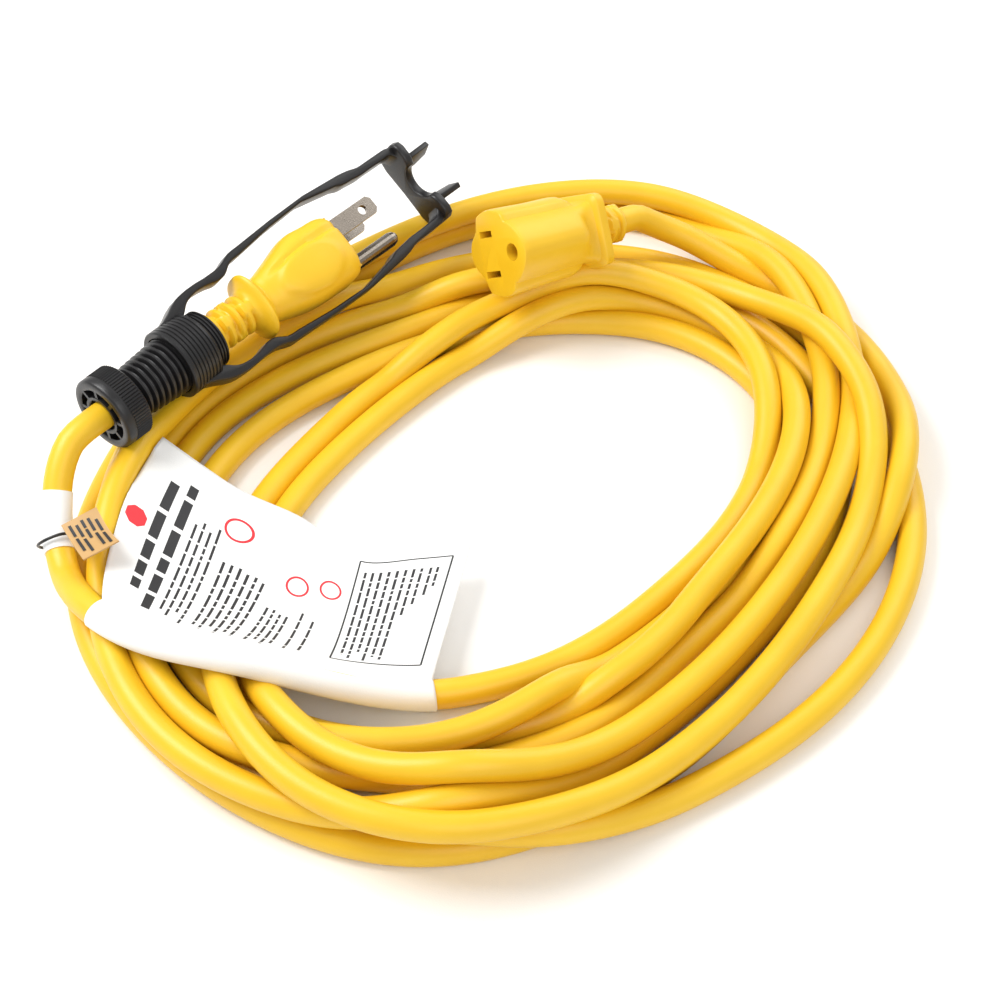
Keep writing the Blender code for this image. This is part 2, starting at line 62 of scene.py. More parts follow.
# Each turn, read from the photo every 30 degrees from 120 to 450: how far it shows from the coil's middle in a plane
# 10 mm up, and which layer it lies in. Extra stations are added where a turn swings in or out fast.
planeHeight = 10
turnStart = 120
turns = [
    {"radius": [128, 130, 94, 80, 70, 65.5, 71, 87.5, 102.5, 85.5, 62, 55],
     "layer": [3.3, 1.5, 2.4, 0.8, 0, 0, 0.2, 1.2, 2, 1.8, 1.1, 1],
     "extra": {157: (127, 2.2), 165: (117, 2.8), 171: (105, 2.9), 195: (84.5, 1.6)}},
    {"radius": [62, 85, 110, 122, 109.5, 98.5, 104, 117, 109, 92, 82, 91],
     "layer": [0, 0.5, 2, 2, 1.2, 1, 1.2, 2.1, 1, 0.5, 0, 0],
     "extra": {165: (97, 1.4), 195: (120, 2)}},
    {"radius": [107, 118, 123.5, 107, 88.5, 77, 82.5, 106.5, 131, 128, 106, 99],
     "layer": [0, 0.5, 0.6, 0.2, 0.2, 0.2, 0.4, 1, 1.2, 1, 0.2, 0]},
    {"radius": [110, 122, 127, 125, 121, 121, 122, 118.5, 119.5, 102, 94, 95],
     "layer": [1, 0.2, 0, 0.5, 0.8, 0, 0, 0, 0.3, 1, 1, 1]},
    {"radius": [108, 120, 130.5, 120, 102.5, 91.5, 96, 106, 104, 87, 71, 77.5],
     "layer": [0, 1.2, 1.1, 0.3, 0, 0, 0, 0, 0, 0, 0, 0],
     "extra": {195: (127.5, 1.1)}},
    {"radius": [98, 108, 110, 95.5, 77, 72, 79, 90, 85.5, 69, 60, 66],
     "layer": [0, 0.7, 0.6, 0, 0, 0, 0, 0, 0, 0, 0, 0],
     "extra": {165: (111, 1)}},
    {"radius": [84, 102, 114, 97, 81, 68.7, 76.5, 96, 101.5, 72.5, 51, 45.5],
     "layer": [0, 0, 0, 0.4, 1, 1, 1, 0.5, 0.3, 1, 0.3, 0]},
    {"radius": [54, 76, 102, 107, 95, 86.5, 93, 114.5, 140, 134, 112, 104],
     "layer": [0, 0.6, 1, 1.2, 1, 1, 1, 1.1, 0.4, 0, 0.5, 0.4]},
    {"radius": [113, 126, 132, 132, 115.5, 100.5, 112, 127, 126.5],
     "layer": [0, 0, 0, 0, 0, 0, 1, 0.3, 0.2],
     "extra": {315: (121.5, 1)}},
]
# How the turns settle on one another: the height of a layer, how many steps it takes, and the last of them in which
# the pulls fade out.
settle = {
    "layer": 7.6, "steps": 500, "fine": 120,
    "spread": 4, "reach": 20,               # how far along a strand a push is felt, in points
    "draw": 0.05, "sink": 0.05, "smooth": 0.4,
    "leadBlend": (12, 16),                  # degrees over which the leads take over at each end
    "ease": 24, "easeEnds": 12,             # last smoothing: its steps, and the points that it spares at the ends
    "lockRadius": 11.9, "lockSpan": (-14, 46),
}
plugLead = {
    "angles": [132, 134.2, 138.1, 142.7, 150],
    "radii": [125.5, 129.1, 131.7, 132, 130],
    "heights": [30, 27, 20.5, 15, 10.5],
}
connectorLead = {
    "angles": [-6.5, -1.4, 4.2, 9.3, 13.8, 16.9],
    "radii": [123.8, 124, 122.8, 120.1, 115.3, 109.7],
    "heights": [5, 6.5, 10.5, 15.5, 20.5, 25.5],
}
lockRoll = 36
plugTurn = {"roll": 33, "yaw": -1.5}
connector = {"at": (96.5, 34, 27.5), "yaw": 166, "pitch": 13, "roll": 217}

camera = {
    "azimuth": 310,
    "elevation": 48,
    "distance": 604.25,
    "lens": 72.155,
    "aside": -1.507,        # how far right of the coil's middle it looks, on the floor
}
lights = {
    "world": 0.62,
    "key": {"at": (-260, 420, 620), "size": 420, "power": 5},
    "fill": {"at": (520, 60, 420), "size": 500, "power": 1.6},
    "front": {"at": (-250, -480, 520), "size": 500, "power": 1.6},
}

paint = {
    # extruded and moulded flexible PVC: an even colour with a broad, soft sheen
    "cord": {"colour": "#edc125", "dark": "#e2b118", "rough": 0.4},
    # moulded nylon: nearly black, with a satin highlight
    "lock": {"colour": "#1b1a1b", "dark": "#121112", "rough": 0.34},
    # nickel-plated and plain brass
    "blade": {"colour": "#9c948a", "dark": "#857c72", "rough": 0.24, "metal": 1},
    "brass": {"colour": "#b98f4a", "dark": "#9d7638", "rough": 0.3, "metal": 1},
    "insert": {"colour": "#e2b21e", "dark": "#d7a418", "rough": 0.5},
    "collet": {"colour": "#d9d6cc", "dark": "#c6c2b6", "rough": 0.5},
    # PVC insulation
    "wireBlack": {"colour": "#191919", "dark": "#0f0f0f", "rough": 0.45},
    "wireWhite": {"colour": "#dedcd6", "dark": "#cfccc4", "rough": 0.45},
    "wireGreen": {"colour": "#1c6b34", "dark": "#145427", "rough": 0.45},
    # coated film, and the ink on it
    "paper": {"colour": "#f1f1ef", "dark": "#e8e8e6", "rough": 0.42},
    "ink": {"colour": "#2b2b2d", "dark": "#232325", "rough": 0.5},
    "red": {"colour": "#d8303a", "dark": "#cc2831", "rough": 0.5},
    "tan": {"colour": "#c9a26a", "dark": "#b98f57", "rough": 0.5},
    "floor": {"colour": "#f6f5f3", "dark": "#f3f2f0", "rough": 0.7},
}


def linear(code):
    channels = [int(code[i:i + 2], 16) / 255 for i in (1, 3, 5)]
    return (*(c / 12.92 if c <= 0.04045 else ((c + 0.055) / 1.055) ** 2.4 for c in channels), 1)


def addNode(tree, kind, inputs=None, **settings):
    node = tree.nodes.new(kind)
    for name, value in settings.items():
        setattr(node, name, value)
    for name, value in (inputs or {}).items():
        if isinstance(value, bpy.types.NodeSocket):
            tree.links.new(value, node.inputs[name])
        else:
            node.inputs[name].default_value = value
    return node


# A moulded or printed surface: two near colours in soft clouds, a fine grain in the bump, and a little unevenness in
# the gloss. The clouds are about 17 mm across and the grain 0.4 mm.
def plainMaterial(name, colour, dark, rough, metal=0, cloud=60, grain=2600, bump=0.12):
    material = bpy.data.materials.new(name)
    material.use_nodes = True
    tree = material.node_tree
    shader = tree.nodes["Principled BSDF"]
    place = addNode(tree, "ShaderNodeTexCoord").outputs["Object"]
    clouds = addNode(tree, "ShaderNodeTexNoise", {"Vector": place, "Scale": cloud, "Detail": 3})
    specks = addNode(tree, "ShaderNodeTexNoise", {"Vector": place, "Scale": grain, "Detail": 2})
    mix = addNode(tree, "ShaderNodeMix", {0: clouds.outputs["Fac"], 6: linear(dark), 7: linear(colour)},
                  data_type="RGBA")
    gloss = addNode(tree, "ShaderNodeMapRange",
                    {"Value": specks.outputs["Fac"], "To Min": rough - 0.06, "To Max": rough + 0.08})
    relief = addNode(tree, "ShaderNodeBump", {"Height": specks.outputs["Fac"], "Strength": bump, "Distance": 0.0004})
    tree.links.new(mix.outputs[2], shader.inputs["Base Color"])
    tree.links.new(gloss.outputs["Result"], shader.inputs["Roughness"])
    tree.links.new(relief.outputs["Normal"], shader.inputs["Normal"])
    shader.inputs["Metallic"].default_value = metal
    return material


def paintOf(name):
    values = paint[name]
    return plainMaterial(name, values["colour"], values["dark"], values["rough"], values.get("metal", 0))


materials = {name: paintOf(name) for name in paint}


def toWorld(points, place=None):
    place = place or Matrix.Identity(4)
    return [(place @ Vector(p)) * mm for p in points]


# An object at the origin from points in millimetres, in the frame that place gives.
def addPiece(name, points, faces, material, place=None, smooth=True):
    mesh = bpy.data.meshes.new(name)
    mesh.from_pydata(toWorld(points, place), [], faces)
    mesh.materials.append(materials[material] if isinstance(material, str) else material)
    mesh.shade_smooth() if smooth else mesh.shade_flat()
    mesh.update()
    piece = bpy.data.objects.new(name, mesh)
    bpy.context.scene.collection.objects.link(piece)
    return piece


# Swaps an object's modifiers for the mesh that they make.
def realise(piece):
    graph = bpy.context.evaluated_depsgraph_get()
    mesh = bpy.data.meshes.new_from_object(piece.evaluated_get(graph))
    piece.modifiers.clear()
    piece.data = mesh
    return piece


# Values on a smooth curve through the knots.
def smoothThrough(knots, values, at):
    knots, values, at = np.array(knots, float), np.array(values, float), np.array(at, float)
    slopes = np.gradient(values, knots)
    i = np.clip(np.searchsorted(knots, at, "right") - 1, 0, len(knots) - 2)
    span = knots[i + 1] - knots[i]
    t = (at - knots[i]) / span
    return ((2 * t ** 3 - 3 * t ** 2 + 1) * values[i] + (t ** 3 - 2 * t ** 2 + t) * span * slopes[i]
            + (3 * t ** 2 - 2 * t ** 3) * values[i + 1] + (t ** 3 - t ** 2) * span * slopes[i + 1])


diameter = 2 * cord["radius"]
cameraTurn = math.radians(camera["azimuth"])
farDirection = math.degrees(math.atan2(math.cos(cameraTurn), -math.sin(cameraTurn)))
lookDown = math.radians(camera["elevation"])


# A strand z up shows further from the camera than it is: this is how much of that falls along its radius.
def sightShift(angles, heights):
    return (heights - planeHeight) / math.tan(lookDown) * np.cos(np.radians(angles - farDirection))


def routeStations():
    stations = {}
    for number, turn in enumerate(turns):
        for i, (radius, layer) in enumerate(zip(turn["radius"], turn["layer"])):
            stations[turnStart + 360 * number + 30 * i] = (radius, layer)
        for angle, value in turn.get("extra", {}).items():
            stations[angle + 360 * number] = value
    angles = sorted(stations)
    return angles, [stations[a][0] for a in angles], [stations[a][1] for a in angles]


# How high a strand may lie where it passes under the lock, which rests on the coil.
def underLock(x, y):
    reach = settle["lockRadius"] + cord["radius"]
    low, high = settle["lockSpan"]
    along = np.clip(np.minimum(x - lockInCoil.x - low, high - x + lockInCoil.x) / 8, 0, 1)
    away = np.minimum(np.abs(y - lockInCoil.y), reach)
    lift = (1 - along) * 25 + away * 0.25
    return lockInCoil.z - np.sqrt(reach ** 2 - away ** 2) + lift * (away < reach) + 60 * (away >= reach)


# How far each point is pushed by the strands that it presses on.
def pushes(points, place, offsets):
    push, hits = np.zeros_like(points), np.zeros(len(points))
    for shift in offsets:
        distance = np.linalg.norm(place[shift:] - place[:-shift], axis=1)
        first = np.nonzero(distance < diameter)[0]
        second = first + shift
        across = points[second] - points[first]
        length = np.linalg.norm(across, axis=1)[:, None] + 1e-6
        move = across / length * (diameter - distance[first])[:, None] / 2
        for strand, way in ((second, 1), (first, -1)):
            np.add.at(push, strand, move * way)
            np.add.at(hits, strand, 1)
    return push / np.maximum(hits, 1)[:, None]


# How far each point is from the middle of its neighbours.
def bends(points):
    bend = np.zeros_like(points)
    bend[1:-1] = (points[:-2] + points[2:]) / 2 - points[1:-1]
    return bend


def stiffBends(points):
    bend = np.zeros_like(points)
    bend[2:-2] = (4 * (points[1:-3] + points[3:-1]) - points[:-4] - points[4:]) / 6 - points[2:-2]
    return bend


# Lets the turns settle: each is drawn to where the photo shows it, stays a diameter from the others, off the floor
# and under the lock, bends smoothly, and sinks under its own weight. A point is its radius and its height.
def settledRoute():
    knots, seen, layers = routeStations()
    plugAngles = plugLead["angles"]
    connectorAngles = [a + 360 * len(turns) for a in connectorLead["angles"]]
    angles = np.arange(plugAngles[0], connectorAngles[-1] + 0.01, 360 / cord["perTurn"])
    count = len(angles)
    seenRadius = smoothThrough(knots, seen, np.minimum(angles, knots[-1]))
    height = cord["radius"] + settle["layer"] * smoothThrough(knots, layers, np.minimum(angles, knots[-1]))
    radius = seenRadius - sightShift(angles, height)
    inPlugLead, inConnectorLead = angles < plugAngles[-1], angles > connectorAngles[0]
    for lead, at, inLead in ((plugLead, plugAngles, inPlugLead), (connectorLead, connectorAngles, inConnectorLead)):
        height[inLead] = smoothThrough(at, lead["heights"], angles[inLead])
        radius[inLead] = smoothThrough(at, lead["radii"], angles[inLead])
    points = np.stack([radius, height], 1)
    start = points.copy()
    atPlug, atConnector = settle["leadBlend"]
    held = np.maximum((plugAngles[-1] - angles) / atPlug, (angles - connectorAngles[0] + atConnector) / atConnector)
    held = np.clip(held, 0, 1)[:, None]
    cosines, sines = np.cos(np.radians(angles)), np.sin(np.radians(angles))
    offsets = [cord["perTurn"] * gap + offset for gap in range(1, len(turns)) for offset in range(-3, 4)]
    offsets = [offset for offset in offsets if offset < count]
    window = np.arange(-settle["reach"], settle["reach"] + 1)
    for step in range(settle["steps"]):
        place = np.stack([points[:, 0] * cosines, points[:, 0] * sines, points[:, 1]], 1)
        push = pushes(points, place, offsets)
        share = min(1, (settle["steps"] - step) / settle["fine"])
        wide = 1 + settle["spread"] * share
        reach = np.exp(-0.5 * (window / wide) ** 2)
        felt = [np.convolve(push[:, k], reach / reach.max(), "same") for k in (0, 1)]
        points += np.stack(felt, 1) * 2 / (1 + wide)
        target = seenRadius - sightShift(angles, points[:, 1])
        points[:, 0] += (target - points[:, 0]) * settle["draw"] * share
        points[:, 1] -= settle["sink"] * share
        points += stiffBends(points) * 0.5
        points += bends(points) * settle["smooth"] * share
        under = underLock(points[:, 0] * cosines, points[:, 0] * sines)
        points[:, 1] = np.maximum(np.minimum(points[:, 1], under), cord["radius"])
        points = points * (1 - held) + start * held
    loose = np.clip(np.minimum(np.arange(count), np.arange(count)[::-1]) / settle["easeEnds"], 0, 1)
    joining = np.exp(-((angles - connectorAngles[0] + 8) / 12) ** 2)
    for step in range(settle["ease"]):
        points += bends(points) * np.stack([loose, loose * joining], 1)
    missed = np.abs(target - points[:, 0])[~inPlugLead & ~inConnectorLead].max()
    print("route settled, furthest from the photo", round(float(missed), 1), "mm")
    ring = np.stack([points[:, 0] * cosines, points[:, 0] * sines, points[:, 1]], 1)
    inLock = [lockInCoil + Vector((x, 0, 0)) for x in (cord["plugEnd"] + 2, 25, 12, 0, -7)]
    axis = connectorPlace.to_3x3() @ Vector((1, 0, 0))
    into = [Vector(connector["at"]) + axis * x for x in (0, 4)]
    return [Vector(p) + coilMiddle for p in joinSmoothly(inLock, ring, into)]


# One smooth route from the straight stretch in the lock, round the ring and into the connector, with a point every
# routeStep.
routeStep = 3.0


def joinSmoothly(before, ring, after):
    chain = [np.array(p) for p in before] + list(ring) + [np.array(p) for p in after]
    chain = np.array(chain)
    gaps = np.linalg.norm(np.diff(chain, axis=0), axis=1)
    along = np.concatenate([[0], np.cumsum(gaps)])
    at = np.arange(0, along[-1], routeStep)
    return np.stack([smoothThrough(along, chain[:, k], at) for k in range(3)], 1)


def framePlace(at, roll=0, pitch=0, yaw=0):
    return (Matrix.Translation(at) @ Matrix.Rotation(math.radians(yaw), 4, "Z")
            @ Matrix.Rotation(math.radians(-pitch), 4, "Y") @ Matrix.Rotation(math.radians(roll), 4, "X"))


lockPlace = framePlace(lockAt, lockRoll)
plugPlace = framePlace(lockAt + Vector((cord["plugEnd"], 0, 0)), plugTurn["roll"], yaw=plugTurn["yaw"])
connectorPlace = framePlace(coilMiddle + Vector(connector["at"]),
                            connector["roll"], connector["pitch"], connector["yaw"])


# A tube round a route, made by Geometry Nodes: the route's line becomes a curve with a round section.
def tubeTree(name, radius, sides):
    tree = bpy.data.node_groups.new(name, "GeometryNodeTree")
    tree.interface.new_socket("Geometry", in_out="INPUT", socket_type="NodeSocketGeometry")
    tree.interface.new_socket("Geometry", in_out="OUTPUT", socket_type="NodeSocketGeometry")
    start = addNode(tree, "NodeGroupInput")
    line = addNode(tree, "GeometryNodeMeshToCurve", {"Mesh": start.outputs[0]})
    ring = addNode(tree, "GeometryNodeCurvePrimitiveCircle", {"Resolution": sides, "Radius": radius * mm})
    skin = addNode(tree, "GeometryNodeCurveToMesh",
                   {"Curve": line.outputs["Curve"], "Profile Curve": ring.outputs["Curve"], "Fill Caps": True})
    shade = addNode(tree, "GeometryNodeSetShadeSmooth", {"Geometry": skin.outputs["Mesh"]})
    addNode(tree, "NodeGroupOutput", {0: shade.outputs["Geometry"]})
    return tree


def addTube(name, route, radius, material, sides=12):
    mesh = bpy.data.meshes.new(name)
    mesh.from_pydata([Vector(p) * mm for p in route], [(i, i + 1) for i in range(len(route) - 1)], [])
    piece = bpy.data.objects.new(name, mesh)
    bpy.context.scene.collection.objects.link(piece)
    piece.modifiers.new("tube", "NODES").node_group = tubeTree(name, radius, sides)
    realise(piece)
    piece.data.materials.clear()
    piece.data.materials.append(materials[material])
    return piece


def routeLength(route):
    return sum((b - a).length for a, b in zip(route, route[1:]))


cordRoute = settledRoute()
print("cord", round(routeLength(cordRoute)) / 1000, "m,", len(cordRoute), "points")
cordPiece = addTube("cord", cordRoute, cord["radius"], "cord", cord["sides"])
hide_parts("cord_coil", "cord_lead_plug", "cord_lead_connector")
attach(cordPiece, "cord")


# Faces between rings of points. A hollow body's last ring joins its first; a solid one has a cap at each end.
def loftFaces(rings, count, hollow):
    faces = [(i * count + k, i * count + (k + 1) % count, (i + 1) * count + (k + 1) % count, (i + 1) * count + k)
             for i in range(rings - 1) for k in range(count)]
    last = (rings - 1) * count
    if hollow:
        faces += [(last + k, last + (k + 1) % count, (k + 1) % count, k) for k in range(count)]
    else:
        faces += [tuple(range(count))[::-1], tuple(last + k for k in range(count))]
    return faces


# A body along X: each ring is its place and its radius in every direction.
def addBody(name, rings, material, place, hollow=False):
    count = len(rings[0][1])
    turn = np.linspace(0, 2 * math.pi, count, endpoint=False)
    points = [(x, r * math.cos(a), r * math.sin(a)) for x, radii in rings for a, r in zip(turn, radii)]
    piece = addPiece(name, points, loftFaces(len(rings), count, hollow), material, place)
    sharpen(piece)
    return piece


def sharpen(piece, degrees=38):
    mesh = piece.data
    mesh.shade_smooth()
    mesh.set_sharp_from_angle(angle=math.radians(degrees))


def turnedRings(profile, count=72):
    return [(x, np.full(count, r)) for x, r in profile]


# The radius of a rounded section in each direction: its half widths to the left and right, its half height, and how
# square it is.
def squareRadius(turn, left, right, half, power):
    wide = np.where(np.cos(turn) > 0, left, right)
    return (np.abs(np.cos(turn) / wide) ** power + np.abs(np.sin(turn) / half) ** power) ** (-1 / power)


# One rib of a strain relief: shares of the pitch, and of the height above the groove.
ribShape = ((0, 0), (0.08, 0.1), (0.16, 0.7), (0.26, 0.95), (0.4, 1), (0.54, 0.95), (0.62, 0.7), (0.68, 0.1), (0.76, 0))


# Ribs with grooves between them, bridged on two opposite sides that alternate by a quarter turn.
def reliefRings(shape, count):
    turn = np.linspace(0, 2 * math.pi, count, endpoint=False)
    rings = []
    for i in range(shape["ribs"]):
        bridge = np.clip(1.6 - 2.6 * np.abs(np.cos(turn + (math.pi / 2 if i % 2 else 0))), 0, 1)
        for step, lift in ribShape:
            depth = shape["low"] + (shape["high"] - shape["low"]) * np.maximum(lift, bridge * 0.93)
            rings.append((shape["start"] + (i + step) * shape["pitch"], depth))
    return rings


plug = {
    "relief": {"start": 0, "ribs": 5, "pitch": 3.85, "low": 4.8, "high": 6.6},
    # place, left, right, half height and squareness of each section
    "sections": [(19.2, 6.3, 6.3, 6.3, 2), (20.4, 7.6, 8, 7.2, 2.2), (21.4, 10, 10.6, 8.6, 2.5),
                 (22.4, 10.7, 11.3, 9.3, 2.6), (23.2, 10, 10.6, 8.8, 2.6), (24.2, 7.6, 8.4, 7.6, 2.4),
                 (27, 7.4, 8.4, 7.8, 2.4), (31, 8.4, 9.4, 9, 2.5), (36, 9.9, 10.6, 10, 2.8),
                 (42, 11.7, 11.5, 10.5, 3), (44, 11.9, 11.6, 10.6, 3.2), (50, 11.4, 11.7, 10.6, 3.4),
                 (56, 10.8, 11.6, 10.4, 3.4), (57.3, 10.4, 11.3, 10.1, 3.2), (58, 9.8, 10.7, 9.5, 3.2)],
    "groove": {"at": 62, "from": 29, "depth": 1.0, "width": 7},
    "palm": {"x": 42, "length": 13, "at": 100, "spread": 42, "height": 0.8},
    "mouth": ((50, -10.1, -7.7), (60, 9.1, 7.7)),
    "insert": ((51, -10, -7.6), (57.8, 9, 7.6)),
    # half height, and from and to across, of the holes for the blades; then the hole for the pin
    "holes": {"along": (49, 60), "y": 4.2, "slots": ((3.4, 5.3, 7.4), (4.2, -7.4, -5.3)), "pin": 2.7},
}
pinApart = 11.9             # from the blades' middle line to the ground pin


def between(degrees, middle):
    return (degrees - middle + 180) % 360 - 180


def plugRings(count=96):
    turn = np.linspace(0, 2 * math.pi, count, endpoint=False)
    knots = [s[0] for s in plug["sections"]]
    groove, palm = plug["groove"], plug["palm"]
    rings = reliefRings(plug["relief"], count)
    stations = [np.arange(knots[0], 25, 0.4), np.arange(25, 57, 0.8), np.arange(57, knots[-1] + 0.01, 0.25)]
    for x in np.concatenate(stations):
        section = (smoothThrough(knots, [s[k] for s in plug["sections"]], [x])[0] for k in (1, 2, 3, 4))
        radii = squareRadius(turn, *section)
        degrees = np.degrees(turn)
        inGroove = np.clip((x - groove["from"]) / 4, 0, 1)
        off = np.abs(between(degrees, groove["at"])) / groove["width"]
        radii = radii - groove["depth"] * inGroove * np.clip(1 - off, 0, 1)
        for middle in (palm["at"], palm["at"] + 170):
            away = np.hypot((x - palm["x"]) / palm["length"], between(degrees, middle) / palm["spread"])
            radii = radii + palm["height"] * np.clip((1 - away) * 5, 0, 1)
        rings.append((x, radii))
    return rings


# Cuts made by a Boolean with boxes and rods, then realised.
def cut(piece, tools):
    for tool in tools:
        change = piece.modifiers.new(tool.name, "BOOLEAN")
        change.operation = "DIFFERENCE"
        change.solver = "EXACT"
        change.object = tool
    realise(piece)
    for tool in tools:
        bpy.data.objects.remove(tool)
    sharpen(piece)


def addBox(name, low, high, place, material="lock"):
    corners = [(x, y, z) for x in (low[0], high[0]) for y in (low[1], high[1]) for z in (low[2], high[2])]
    faces = [(0, 1, 3, 2), (4, 6, 7, 5), (0, 4, 5, 1), (2, 3, 7, 6), (0, 2, 6, 4), (1, 5, 7, 3)]
    return addPiece(name, corners, faces, material, place, smooth=False)


def addRod(name, start, end, radius, place, count=28):
    return addBody(name, turnedRings([(start, radius), (end, radius)], count), "lock", place)


# Cutters for the two slots and the round hole of a plug's or connector's face.
def faceHoles(holes, place):
    start, end = holes["along"]
    slots = [addBox("slot", (start, holes["y"] - half, low), (end, holes["y"] + half, high), place)
             for half, low, high in holes["slots"]]
    middle = place @ Matrix.Translation((0, holes["y"] - pinApart, 0))
    return slots + [addRod("pinHole", start, end, holes["pin"], middle)]


plugPiece = addBody("plugShell", plugRings(), "cord", plugPlace)
cut(plugPiece, [addBox("plugMouth", *plug["mouth"], plugPlace)])
insertPiece = addBox("plugInsert", *plug["insert"], plugPlace, "insert")
cut(insertPiece, faceHoles(plug["holes"], plugPlace))
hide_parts("plug_body")
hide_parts("plug_blade_carrier")

connectorShape = {
    "relief": {"start": 0, "ribs": 3, "pitch": 3.6, "low": 5.0, "high": 6.2},
    # the face's half outline: two flat wings, with a round bulge on each side
    "outline": [(-13.8, 0), (-13.2, 2.6), (-11.2, 5.8), (-8.2, 8.4), (-5.6, 9.8), (-4.6, 12), (-2.6, 13), (6.6, 13),
                (8.6, 12.2), (9.8, 9.4), (10.4, 7.6), (12, 6), (13.6, 4.6), (14.8, 2.4), (15.2, 0)],
    "flange": (11.6, 12, 11.8, 7),
    # place, size of the outline, and how much of the flange's square section is in it
    "sections": [(10.9, 0.5, 0), (11.6, 0.53, 0.3), (12, 0.9, 1), (12.5, 0.98, 1), (15.2, 1, 1), (15.8, 0.97, 1),
                 (16.4, 0.86, 0.95), (18, 0.8, 0.9), (19.5, 0.8, 0.8), (21, 0.9, 0.2), (22.5, 0.94, 0.02),
                 (24, 0.95, 0), (34, 0.96, 0), (45.5, 1, 0), (47, 1, 0), (47.7, 0.985, 0), (48, 0.95, 0)],
    "holes": {"along": (40, 50), "y": 4.9, "slots": ((3.1, -7.4, -5.3), (3.7, 5.3, 7.4)), "pin": 2.75},
}


def connectorRings(count=120):
    turn = np.linspace(0, 2 * math.pi, count, endpoint=False)
    half = connectorShape["outline"]
    whole = half + [(y, -z) for y, z in half[-2:0:-1]]
    reach = np.hypot(*np.array(whole).T)
    bearing = np.degrees(np.arctan2([p[1] for p in whole], [p[0] for p in whole])) % 360
    order = np.argsort(bearing)
    outline = np.interp(np.degrees(turn), bearing[order], reach[order], period=360)
    square = squareRadius(turn, *connectorShape["flange"])
    rings = reliefRings(connectorShape["relief"], count)
    rings += [(x, (outline * (1 - share) + square * share) * size) for x, size, share in connectorShape["sections"]]
    return rings


connectorPiece = addBody("connectorShell", connectorRings(), "cord", connectorPlace)
cut(connectorPiece, faceHoles(connectorShape["holes"], connectorPlace))
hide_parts("connector_body")
for piece in (plugPiece, insertPiece, connectorPiece):
    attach(piece, "cord")
print("plug and connector made")

lock = {
    # the outside and the inside of one arm
    "arm": [(28, 10.6), (33, 11.4), (41, 14.7), (46, 15.3), (57, 15.0), (60, 15.3), (65, 16.9), (69, 17.1),
            (114, 17.0), (118, 16.4), (122, 15.4), (126, 15.3), (133, 15.2)],
    "inner": [(28, 9.4), (40, 9.4), (43.5, 11.9), (46, 12.7), (54, 12.4), (56.5, 11.8), (59.5, 12), (63.5, 14.1),
              (68, 14.5), (111, 14.3), (113.5, 13.4), (117.5, 13.0), (121, 12.6), (126, 12.6), (130, 12.5)],
    "corner": {"y": 9.2, "outer": 6, "inner": 3.3, "from": 82},
    "height": 3.5,
    "wall": (136.5, 139.5),
    # half of the end wall, from its low edge over the shoulder to the notch
    "shoulders": [(0, -6.9), (9.6, -7.2), (12.4, -6.6), (14.4, -4.8), (15, -2.2), (15, 3.4), (14.2, 5.4),
                  (12.2, 6.3), (8.8, 6.2), (6.9, 5.6)],
    "notch": {"z": 4.6, "radius": 5.6},
    "prong": [(-1, -3.2), (4, -2.6), (8.5, -1), (9.5, 3.2), (-1, 2.8)],
    "prongY": 7.4, "prongZ": 1.2, "prongTilt": 22,
}
# Runs of rings along a turned part: each has its start, count and pitch, and the steps of one ring as (x, radius).
drumRings = {"start": 28.6, "count": 7, "pitch": 1.35, "steps": ((0, 11.4), (0.2, 11.05), (0.45, 11.05), (0.65, 11.4))}
sleeveRings = {
    "thread": {"start": 4.5, "count": 4, "pitch": 1.75, "steps": ((0, 7), (0.5, 7.7), (1, 7.7), (1.6, 7))},
    "ribs": {"start": 11.8, "count": 7, "pitch": 2.2, "grow": 0.17,
             "steps": ((0, 6.7), (0.25, 7.85), (0.45, 8.2), (1.15, 8.2), (1.35, 7.85), (1.6, 6.7))},
    "mouth": {"start": 38.8, "count": 4, "pitch": 1.1, "steps": ((0, 9.1), (0.2, 9.6), (0.6, 9.6), (0.8, 9.1))},
}


def ringRun(run):
    return [(run["start"] + run["pitch"] * i + x, radius + run.get("grow", 0) * i)
            for i in range(run["count"]) for x, radius in run["steps"]]


def arcPoints(centre, radius, start, end, count):
    return [(centre[0] + radius * math.cos(math.radians(a)), centre[1] + radius * math.sin(math.radians(a)))
            for a in np.linspace(start, end, count)]


# A plate with rounded edges, from a closed outline in XY.
def addPlate(name, outline, half, edge, place, material="lock"):
    count = len(outline)
    points = [(x, y, z) for z in (-half, half) for x, y in outline]
    area = sum(a[0] * b[1] - b[0] * a[1] for a, b in zip(outline, outline[1:] + outline[:1]))
    way = 1 if area > 0 else -1
    faces = [tuple(range(count))[::-way], tuple(range(count, 2 * count))[::way]]
    faces += [(k, (k + 1) % count, (k + 1) % count + count, k + count)[::way] for k in range(count)]
    piece = addPiece(name, points, faces, material, place)
    bevel = piece.modifiers.new("edge", "BEVEL")
    bevel.width = edge * mm
    bevel.segments = 3
    bevel.limit_method = "ANGLE"
    bevel.angle_limit = math.radians(50)
    realise(piece)
    sharpen(piece)
    return piece


def joined(name, pieces):
    with bpy.context.temp_override(active_object=pieces[0], selected_editable_objects=pieces):
        bpy.ops.object.join()
    pieces[0].name = name
    return pieces[0]


def roundedRoute(points, per=5):
    at = np.concatenate([[0], np.cumsum([math.dist(a, b) for a, b in zip(points, points[1:])])])
    fine = np.interp(np.linspace(0, len(points) - 1, (len(points) - 1) * per + 1), np.arange(len(points)), at)
    return list(zip(smoothThrough(at, [p[0] for p in points], fine), smoothThrough(at, [p[1] for p in points], fine)))


